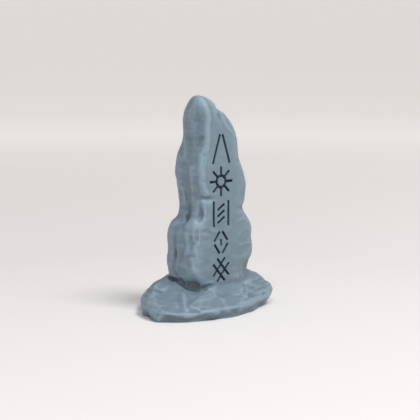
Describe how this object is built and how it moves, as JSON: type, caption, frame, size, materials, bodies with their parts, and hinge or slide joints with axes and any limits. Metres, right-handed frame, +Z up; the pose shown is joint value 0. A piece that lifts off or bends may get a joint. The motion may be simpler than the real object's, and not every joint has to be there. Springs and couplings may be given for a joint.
{
  "type": "runestone",
  "caption": "Small printed plastic runestone ornament: a tall rough stone on a rock mound, with a column of cut signs made of straight strokes down its flat front.",
  "frame": {"origin": "middle of the flat underside", "axes": "+Z up, the flat front with the cut signs faces -Y, the mound is longest along X"},
  "size_m": [0.1126, 0.076, 0.15],
  "materials": {
    "grey_plastic": "smooth matte printed plastic, blue-grey"
  },
  "bodies": {
    "root": {"runestone": "grey_plastic"}
  },
  "joints": []
}
